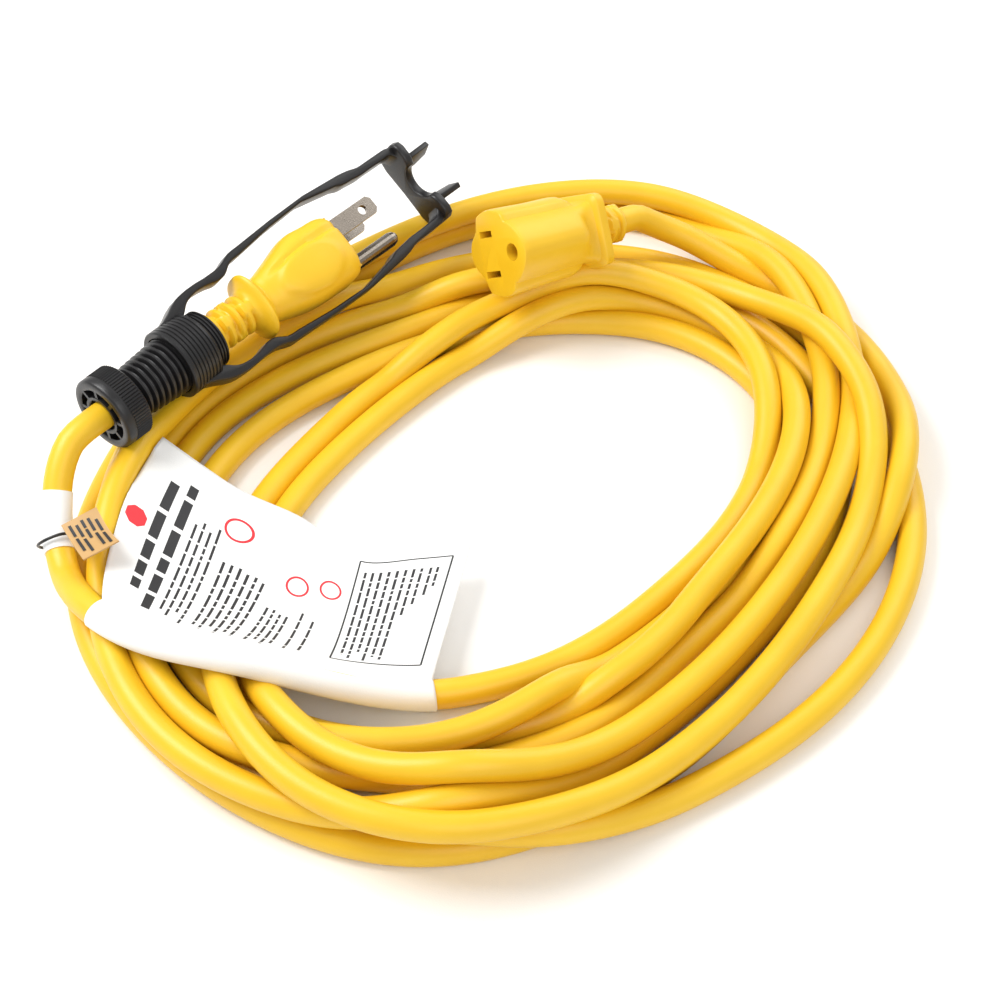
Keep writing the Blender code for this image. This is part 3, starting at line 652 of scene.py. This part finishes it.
def cagePieces():
    wall, notch, corner = lock["wall"], lock["notch"], lock["corner"]
    arms = []
    for side, x in (("outer", wall[1]), ("inner", wall[0])):
        radius = corner[side]
        line = roundedRoute(lock["arm" if side == "outer" else "inner"], 3)
        arms.append(line + arcPoints((x - radius, corner["y"]), radius, corner["from"], 0, 8 if side == "outer" else 6))
    outer, inner = arms
    outline = outer + [(x, -y) for x, y in outer[::-1]] + [(x, -y) for x, y in inner] + inner[::-1]
    frameBar = addPlate("cageFrame", outline, lock["height"], 0.7, lockPlace)
    atNotch = lockPlace @ Matrix.Translation((0, 0, notch["z"]))
    cut(frameBar, [addRod("notchRod", wall[0] - 1, wall[1] + 1, notch["radius"] + 0.2, atNotch, 48)])
    side = lock["shoulders"] + arcPoints((0, notch["z"]), notch["radius"], 0, -84, 9)
    saddle = side + [(-y, z) for y, z in side[::-1]][:-1]
    quarter = math.pi / 2
    stand = Matrix.Rotation(quarter, 4, "Z") @ Matrix.Rotation(quarter, 4, "X")
    stand = lockPlace @ Matrix.Translation((sum(wall) / 2, 0, 0)) @ stand
    pieces = [frameBar, addPlate("cageWall", saddle, (wall[1] - wall[0]) / 2 + 0.1, 0.8, stand)]
    for way in (-1, 1):
        tilt = Matrix.Rotation(quarter - way * math.radians(lock["prongTilt"]), 4, "X")
        place = lockPlace @ Matrix.Translation((wall[1], way * lock["prongY"], lock["prongZ"])) @ tilt
        pieces.append(addPlate("cageProng", lock["prong"], 0.95, 0.3, place))
    drum = [(27.2, 9.6), (27.2, 11), (27.6, 11.4)] + ringRun(drumRings) + [(38.2, 11.3), (38.6, 10.9), (38.6, 9.6)]
    pieces.append(addBody("cageDrum", turnedRings(drum, 96), "lock", lockPlace, hollow=True))
    return pieces


# The sleeve's outside, from the thread under the nut to its mouth in the drum, and back along its bore.
def sleeveProfile():
    return ([(4, 5.3), (4, 6.9)] + ringRun(sleeveRings["thread"]) + ringRun(sleeveRings["ribs"])
            + [(27.1, 9.2), (38.4, 9.3)] + ringRun(sleeveRings["mouth"])
            + [(43.2, 9), (43.4, 8.6), (43.4, 7.6), (24, 7.5), (20, 5.3)])


# Copies of one small shape set round the X axis by Geometry Nodes.
def ringTree(name, count):
    tree = bpy.data.node_groups.new(name, "GeometryNodeTree")
    tree.interface.new_socket("Geometry", in_out="INPUT", socket_type="NodeSocketGeometry")
    tree.interface.new_socket("Geometry", in_out="OUTPUT", socket_type="NodeSocketGeometry")
    start = addNode(tree, "NodeGroupInput")
    points = addNode(tree, "GeometryNodePoints", {"Count": count})
    number = addNode(tree, "GeometryNodeInputIndex")
    angle = addNode(tree, "ShaderNodeMath", {0: number.outputs[0], 1: 2 * math.pi / count}, operation="MULTIPLY")
    turn = addNode(tree, "ShaderNodeCombineXYZ", {"X": angle.outputs[0]})
    copies = addNode(tree, "GeometryNodeInstanceOnPoints",
                     {"Points": points.outputs[0], "Instance": start.outputs[0], "Rotation": turn.outputs[0]})
    real = addNode(tree, "GeometryNodeRealizeInstances", {"Geometry": copies.outputs[0]})
    addNode(tree, "NodeGroupOutput", {0: real.outputs[0]})
    return tree


def ringOf(piece, count, place):
    piece.modifiers.new("ring", "NODES").node_group = ringTree(piece.name, count)
    realise(piece)
    turned = place.copy()
    turned.translation = place.translation * mm
    piece.data.transform(turned)
    return piece


nut = {"ribs": 72, "spokes": 8, "hub": (5.1, 6.3), "rim": (8.7, 11.7)}


def nutPieces():
    hubIn, hubOut = nut["hub"]
    rimIn, rimOut = nut["rim"]
    shell = [(0.25, rimIn), (0, rimIn + 0.4), (0, 10.9), (0.35, 11.4), (0.9, rimOut), (3, rimOut), (3.3, 11.4),
             (9.2, 11.4), (9.6, 11), (9.6, 9.1), (3, 9.1), (3, rimIn)]
    hub = [(0, hubIn + 0.3), (0, hubOut), (1.2, hubOut + 0.1), (2.6, hubOut + 0.1), (2.6, hubIn), (0.3, hubIn)]
    floor = [(2.2, hubOut), (2.2, rimIn), (2.9, rimIn), (2.9, hubOut)]
    plain = Matrix.Identity(4)
    ribSection = ((-0.34, 11.2), (0.34, 11.2), (0, 11.75))
    rib = addPiece("nutRib", [(x, y, z) for x in (3.4, 9.1) for y, z in ribSection],
                   [(0, 1, 2), (5, 4, 3), (0, 3, 4, 1), (1, 4, 5, 2), (2, 5, 3, 0)], "lock", plain, smooth=False)
    spoke = addBox("nutSpoke", (0.15, -0.55, hubOut - 0.2), (2.4, 0.55, rimIn + 0.3), plain)
    return [addBody("nutShell", turnedRings(shell, 96), "lock", lockPlace, hollow=True),
            addBody("nutHub", turnedRings(hub, 64), "lock", lockPlace, hollow=True),
            addBody("nutFloor", turnedRings(floor, 64), "lock", lockPlace, hollow=True),
            ringOf(rib, nut["ribs"], lockPlace), ringOf(spoke, nut["spokes"], lockPlace)]


cage = joined("lockCage", cagePieces())
sleeve = addBody("lockSleeve", turnedRings(sleeveProfile(), 96), "lock", lockPlace, hollow=True)
nutPiece = joined("lockNut", nutPieces())
lockBodies = ((cage, "plug_lock_cage", "lock"), (sleeve, "plug_lock_sleeve", "lock"), (nutPiece, "gland_nut", "nut"))
for piece, node, body in lockBodies:
    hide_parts(node)
    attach(piece, body)
print("lock made")

# Places are (along e1, along e2) in mm from the coil's middle, as the label lies in plan. Its long edge is wrapped over
# the first strand, between two angles of the coil, and from one angle round the strand to another.
label = {
    "e1": (0.375, -0.927), "e2": (0.927, 0.375),
    "edge": [(-102, -16), (-87, -23), (-72, -29), (-53, -33), (-40, -38), (-28, -41), (-14, -35), (-1, -29)],
    "wrap": (157, 207), "start": 118, "end": -95, "turns": 14,
    "bulge": 5, "bulgeEnd": 0.35,           # how far its left edge bows out, and where along the label that ends
    "columns": 112, "rows": 56, "clear": 0.35, "film": 0.12,
    "first": 16, "rounds": 26, "steps": 60, "droop": 0.004,
    "sight": 0.9,                           # how far a place shifts in plan for each mm that it rises
    "flat": (0.078, 0.112),
}


# The first stretch of the cord that passes between two angles of the coil.
def firstPass(start, end):
    found = []
    for p in cordRoute:
        angle = math.degrees(math.atan2((p - coilMiddle).y, (p - coilMiddle).x)) % 360
        if start <= angle <= end:
            found.append(p)
        elif found and angle > end:
            break
    return found


def spread(points, count):
    reach = np.cumsum([0] + [(b - a).length for a, b in zip(points, points[1:])])
    at = np.linspace(0, reach[-1], count)
    values = np.array([tuple(p) for p in points])
    return np.stack([np.interp(at, reach, values[:, k]) for k in range(3)], 1)


# The top of the highest strand under each point, or the floor.
def strandTops(xy, under, reach):
    tops = np.zeros(len(xy))
    for i in range(0, len(xy), 400):
        away = np.linalg.norm(xy[i:i + 400, None] - under[None, :, :2], axis=2)
        lift = np.where(away < reach, under[None, :, 2] + np.sqrt(np.maximum(reach ** 2 - away ** 2, 0)), 0)
        tops[i:i + 400] = lift.max(axis=1)
    return tops


def relaxed(height):
    wide = np.pad(height, 1, mode="edge")
    return (wide[:-2, 1:-1] + wide[2:, 1:-1] + wide[1:-1, :-2] + wide[1:-1, 2:]) / 4


# The strand that the label is wrapped over, and the rows of points round it from the label's side to below.
def wrappedRows(columns):
    held = spread(firstPass(*label["wrap"]), columns)
    ahead = np.gradient(held, axis=0)
    out = np.stack([ahead[:, 1], -ahead[:, 0], np.zeros(columns)], 1)
    out /= np.linalg.norm(out, axis=1)[:, None]
    if np.dot(out[columns // 2][:2], held[columns // 2][:2] - np.array(coilMiddle[:2])) < 0:
        out = -out
    reach = cord["radius"] + label["clear"]
    turn = np.radians(np.linspace(label["start"], label["end"], label["turns"]))
    return np.array([held + reach * (math.cos(a) * out + math.sin(a) * np.array([0, 0, 1])) for a in turn])


# The label as rows of points, lying on the strands under it like a soft film.
def labelSurface():
    e1, e2 = np.array(label["e1"]), np.array(label["e2"])
    columns, rows = label["columns"], label["rows"]
    share = np.linspace(0, 1, columns)
    knots = np.linspace(0, 1, len(label["edge"]))
    edge = [smoothThrough(knots, [p[k] for p in label["edge"]], share) for k in (0, 1)]
    edge = np.array(coilMiddle[:2]) + np.outer(edge[0], e1) + np.outer(edge[1], e2)
    wrapped = wrappedRows(columns)
    across = np.linspace(0, 1, rows)[:, None, None]
    plan = edge[None] * (1 - across) + wrapped[0][None, :, :2] * across
    bow = np.clip(1 - share / label["bulgeEnd"], 0, 1)[None, :, None] ** 2
    plan += -label["bulge"] * (4 * across * (1 - across)) * bow * e1
    under = np.array([tuple(p) for p in cordRoute])
    shift = label["sight"] * np.array([-math.sin(cameraTurn), math.cos(cameraTurn)])
    height = np.full((rows, columns), float(label["first"]))

    def inPlan(height):
        return plan - (1 - across) * (height[..., None] - planeHeight) * shift

    for number in range(label["rounds"]):
        floor = strandTops(inPlan(height).reshape(-1, 2), under, cord["radius"] + label["clear"])
        floor = floor.reshape(rows, columns) + 0.1
        for step in range(label["steps"]):
            height = np.maximum(relaxed(height) - label["droop"], floor)
            height[-1] = wrapped[0][:, 2]
    for step in range(3):
        height = np.maximum(relaxed(height), floor - 0.1)
        height[-1] = wrapped[0][:, 2]
    flat = np.concatenate([inPlan(height), height[..., None]], 2)
    return np.concatenate([flat, wrapped[1:]], 0)


# Faces of a grid of points, row by row.
def gridFaces(rows, columns, first=0):
    return [(first + r * columns + c, first + r * columns + c + 1,
             first + (r + 1) * columns + c + 1, first + (r + 1) * columns + c)
            for r in range(rows - 1) for c in range(columns - 1)]


labelGrid = labelSurface()
gridRows, gridColumns = labelGrid.shape[:2]
labelPiece = addPiece("flagLabel", labelGrid.reshape(-1, 3), gridFaces(gridRows, gridColumns), "paper")
thick = labelPiece.modifiers.new("film", "SOLIDIFY")
thick.thickness = label["film"] * mm
realise(labelPiece)
print("label", [round(x) for x in labelGrid[..., 2].ravel()[[0, gridColumns - 1]]], "mm high at its corners")


# A place on the label from its share along and its share down.
def labelPoint(along, down):
    c = min(max(along, 0), 1) * (gridColumns - 1)
    r = min(max(down, 0), 1) * (label["rows"] - 1)
    i, j = min(int(r), label["rows"] - 2), min(int(c), gridColumns - 2)
    s, t = r - i, c - j
    here = labelGrid[i, j] * (1 - s) + labelGrid[i + 1, j] * s
    there = labelGrid[i, j + 1] * (1 - s) + labelGrid[i + 1, j + 1] * s
    return Vector(here * (1 - t) + there * t)


# The same place a little above the film, for the ink.
def onLabel(along, down, lift=0.14):
    here = labelPoint(along, down)
    facing = (labelPoint(along + 0.01, down) - here).cross(labelPoint(along, down - 0.015) - here).normalized()
    return here + facing * (lift if facing.z > 0 else -lift)


# What is printed, with no lettering: lines of plain bars as (share along, from, to), rings and an octagon as (along,
# down, radius in mm), and a frame as (left, right, top, low, line width in mm).
printed = {
    "length": 108, "width": 66,
    "headings": [(0.098, 0.17, 0.8), (0.152, 0.13, 0.9)],
    "small": [(0.195, 0.3, 0.86), (0.218, 0.27, 0.9), (0.241, 0.3, 0.84), (0.264, 0.26, 0.93), (0.302, 0.42, 0.9),
              (0.324, 0.42, 0.93), (0.346, 0.42, 0.88), (0.368, 0.44, 0.94), (0.39, 0.44, 0.9), (0.412, 0.46, 0.93),
              (0.452, 0.6, 0.93), (0.474, 0.6, 0.9), (0.496, 0.62, 0.94), (0.518, 0.62, 0.9), (0.56, 0.56, 0.92),
              (0.6, 0.6, 0.9), (0.72, 0.14, 0.84), (0.742, 0.14, 0.87), (0.764, 0.14, 0.8), (0.786, 0.14, 0.88),
              (0.808, 0.14, 0.84), (0.83, 0.14, 0.86), (0.852, 0.14, 0.5), (0.874, 0.14, 0.42), (0.9, 0.14, 0.36),
              (0.92, 0.14, 0.3)],
    "rings": [(0.31, 0.22, 4.3), (0.51, 0.4, 4.3), (0.62, 0.34, 4.3)], "ringWidth": 0.8,
    "octagon": (0.04, 0.44, 3.4),
    "frame": (0.694, 0.955, 0.06, 0.9, 0.6),
    # half height of a line, how much longer its words are, and the gap between them in mm
    "heading": {"half": 1.55, "longer": 1.9, "gap": 1.6},
    "text": {"half": 0.42, "longer": 1, "gap": 0.7},
}


def printWriter():
    points, faces, kinds = [], [], []

    def addFace(corners, kind):
        first = len(points)
        points.extend(corners)
        faces.append((first, first + 1, first + 3, first + 2))
        kinds.append(kind)

    # A line through shares of the label, as wide as twice half, which lies across the way that across gives.
    def strip(path, half, across=(1, 0)):
        first = len(points)
        for a, d in path:
            points.extend(onLabel(a + side * across[0] / printed["length"], d + side * across[1] / printed["width"])
                          for side in (-half, half))
        for i in range(first, len(points) - 2, 2):
            faces.append((i, i + 1, i + 3, i + 2))
            kinds.append(0)

    def line(along, start, end, style, seed):
        chance = random.Random(seed)
        at = start
        while at < end:
            word = min(chance.uniform(1.6, 6) * style["longer"] / printed["width"], end - at)
            strip([(along, at + word * k / 6) for k in range(7)], style["half"])
            at += word + style["gap"] / printed["width"]

    # One band of a ring with so many sides, turned by a share of a side.
    def band(along, down, radii, sides, lift, turned=0):
        for k in range(sides):
            corners = []
            for a in (k, k + 1):
                angle = 2 * math.pi * (a + turned) / sides
                for r in radii:
                    corners.append(onLabel(along + r * math.cos(angle) / printed["length"],
                                           down + r * math.sin(angle) / printed["width"], lift))
            addFace(corners, 1)

    for i, (along, start, end) in enumerate(printed["headings"]):
        line(along, start, end, printed["heading"], i)
    for i, (along, start, end) in enumerate(printed["small"]):
        line(along, start, end, printed["text"], 20 + i)
    for along, down, radius in printed["rings"]:
        band(along, down, (radius - printed["ringWidth"], radius), 40, 0.16)
    along, down, radius = printed["octagon"]
    for inner, outer in ((0, 0.5), (0.5, 1)):
        band(along, down, (radius * inner, radius * outer), 8, 0.18, 0.5)
    left, right, top, low, width = printed["frame"]
    for d in (top, low):
        strip([(left + (right - left) * k / 20, d) for k in range(21)], width / 2, (0, 1))
    for a in (left, right):
        strip([(a, top + (low - top) * k / 24) for k in range(25)], width / 2)
    return points, faces, kinds


points, faces, kinds = printWriter()
printPiece = addPiece("labelPrint", points, faces, "ink")
printPiece.data.materials.append(materials["red"])
for face, kind in zip(printPiece.data.polygons, kinds):
    face.material_index = kind
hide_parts("flag_label")
for piece in (labelPiece, printPiece):
    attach(piece, "cord")
print("label printed,", len(faces), "faces")

# The printed wrap round the lead, the tan flap beside it and the thin tie. near is a place beside the wrap.
tags = {
    "wrap": {"length": 11, "near": (-101, 80, 18), "clear": 0.3},
    "flap": {"corners": [(-105, 75, 24), (-110, 60, 25), (-100, 56, 25.5), (-95, 71, 24.5)],
             "thick": 0.5, "curl": 1.6, "steps": 6, "ink": 0.22},
    # the flap's lines, as shares of its length
    "lines": ((0.1, 0.8), (0.15, 0.9), (0.1, 0.55), (0.12, 0.86), (0.2, 0.9)),
    "tie": {"radius": 0.45, "loop": 5.9, "before": 7, "from": -60, "to": 285},
}


# The point of the plug's end of the cord that is nearest to a place.
def nearestStation(place):
    return min(range(len(cordRoute) // 6), key=lambda i: (cordRoute[i] - coilMiddle - Vector(place)).length)


def tagWrap(here):
    wrap = tags["wrap"]
    half = round(wrap["length"] / routeStep) // 2 + 1
    return addTube("tagWrap", cordRoute[here - half:here + half + 1], cord["radius"] + wrap["clear"], "paper", 40)


# A place on the flap, which curls up at both ends.
def flapPoint(s, t):
    flap = tags["flap"]
    a, b, c, d = (Vector(p) + coilMiddle for p in flap["corners"])
    curl = Vector((0, 0, flap["curl"] * (s - 0.5) ** 2 * 4 * (0.4 + t)))
    return (a * (1 - s) + b * s) * (1 - t) + (d * (1 - s) + c * s) * t + curl


def tagFlap():
    flap = tags["flap"]
    a, b, c, d = (Vector(p) for p in flap["corners"])
    facing = (b - a).cross(d - a).normalized() * flap["thick"]
    steps = flap["steps"]
    side = steps + 1
    grid = [flapPoint(r / steps, c / steps) + facing * layer
            for layer in (0, 1) for r in range(side) for c in range(side)]
    faces = [face[::-1] for face in gridFaces(side, side)] + gridFaces(side, side, side ** 2)
    rim = ([r * side for r in range(side)] + [steps * side + c for c in range(1, side)]
           + [steps + side * r for r in range(steps - 1, -1, -1)] + list(range(steps - 1, 0, -1)))
    faces += [(p, q, q + side ** 2, p + side ** 2) for p, q in zip(rim, rim[1:] + rim[:1])]
    piece = addPiece("tagFlap", grid, faces, "tan")
    sharpen(piece)
    above = (facing if facing.z > 0 else Vector()) + Vector((0, 0, flap["ink"]))
    marks = []
    for row, (start, end) in enumerate(tags["lines"]):
        low, high = 0.12 + 0.17 * row, 0.2 + 0.17 * row
        for s0, s1 in ((start, start + (end - start) * 0.4), (start + (end - start) * 0.48, end)):
            marks += [flapPoint(s, t) + above for s, t in ((s0, low), (s1, low), (s1, high), (s0, high))]
    quads = [tuple(range(i, i + 4)) for i in range(0, len(marks), 4)]
    return piece, addPiece("tagPrint", marks, quads, "ink", smooth=False)


def tagTie(here):
    tie = tags["tie"]
    station = here + round(tie["before"] / routeStep)
    ahead = (cordRoute[station + 1] - cordRoute[station - 1]).normalized()
    side = ahead.cross(Vector((0, 0, 1))).normalized()
    up = side.cross(ahead)
    loop = [cordRoute[station] + (side * math.cos(a) + up * math.sin(a)) * tie["loop"] + ahead * 0.5 * math.sin(a * 2)
            for a in np.linspace(math.radians(tie["from"]), math.radians(tie["to"]), 40)]
    return addTube("tagTie", loop, tie["radius"], "lock", 8)


def addTags():
    here = nearestStation(tags["wrap"]["near"])
    wrapPiece = tagWrap(here)
    flapPiece, markPiece = tagFlap()
    tiePiece = tagTie(here)
    for piece, node, slot in ((wrapPiece, "cord_tag_wrap", "label_white"), (flapPiece, "cord_tag_flap", "tag_tan"),
                              (tiePiece, "tag_tie", "lock_black")):
        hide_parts(node)
    for piece in (wrapPiece, flapPiece, tiePiece, markPiece):
        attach(piece, "cord")


addTags()
print("tags made")


def addLight(name, at, size, power):
    light = bpy.data.lights.new(name, "AREA")
    light.size = size * mm
    light.energy = power
    lamp = bpy.data.objects.new(name, light)
    lamp.location = Vector(at) * mm
    lamp.rotation_euler = (coilMiddle * mm - lamp.location).to_track_quat("-Z", "Y").to_euler()
    bpy.context.scene.collection.objects.link(lamp)


def addStudio():
    far = 4000
    corners = [(x, y, -0.05) for x, y in ((-far, -far), (far, -far), (far, far), (-far, far))]
    floor = addPiece("floor", corners, [(0, 1, 2, 3)], "floor", smooth=False)
    for name in ("key", "fill", "front"):
        addLight(name, lights[name]["at"], lights[name]["size"], lights[name]["power"])
    world = bpy.data.worlds.new("studio")
    world.use_nodes = True
    world.node_tree.nodes["Background"].inputs["Color"].default_value = linear("#ffffff")
    world.node_tree.nodes["Background"].inputs["Strength"].default_value = lights["world"]
    bpy.context.scene.world = world
    bpy.context.scene.view_settings.view_transform = "Standard"


def addCamera():
    right = Vector((math.cos(cameraTurn), math.sin(cameraTurn), 0))
    ahead = Vector((-math.sin(cameraTurn), math.cos(cameraTurn), 0))
    target = coilMiddle + right * camera["aside"]
    back = -ahead * math.cos(lookDown) + Vector((0, 0, math.sin(lookDown)))
    lens = bpy.data.cameras.new("camera")
    lens.lens = camera["lens"]
    lens.sensor_width = 36
    lens.clip_start = 0.01
    view = bpy.data.objects.new("camera", lens)
    view.location = (target + back * camera["distance"]) * mm
    view.rotation_euler = (-back).to_track_quat("-Z", "Y").to_euler()
    bpy.context.scene.collection.objects.link(view)
    bpy.context.scene.camera = view


addStudio()
addCamera()

# The CAD's own meshes that show.
nodePaint = {
    "plug_blade_line": "blade", "plug_blade_neutral": "blade", "plug_ground_pin": "blade",
    "plug_blade_carrier": "insert",
    "plug_wire_black": "wireBlack", "plug_wire_white": "wireWhite", "plug_wire_green": "wireGreen",
    "connector_contact_carrier": "collet", "connector_contact_line": "brass", "connector_contact_neutral": "brass",
    "connector_contact_ground": "brass", "connector_wire_black": "wireBlack", "connector_wire_white": "wireWhite",
    "connector_wire_green": "wireGreen", "gland_collet": "collet",
}
for node, name in nodePaint.items():
    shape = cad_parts[node].data
    shape.materials.clear()
    shape.materials.append(materials[name])
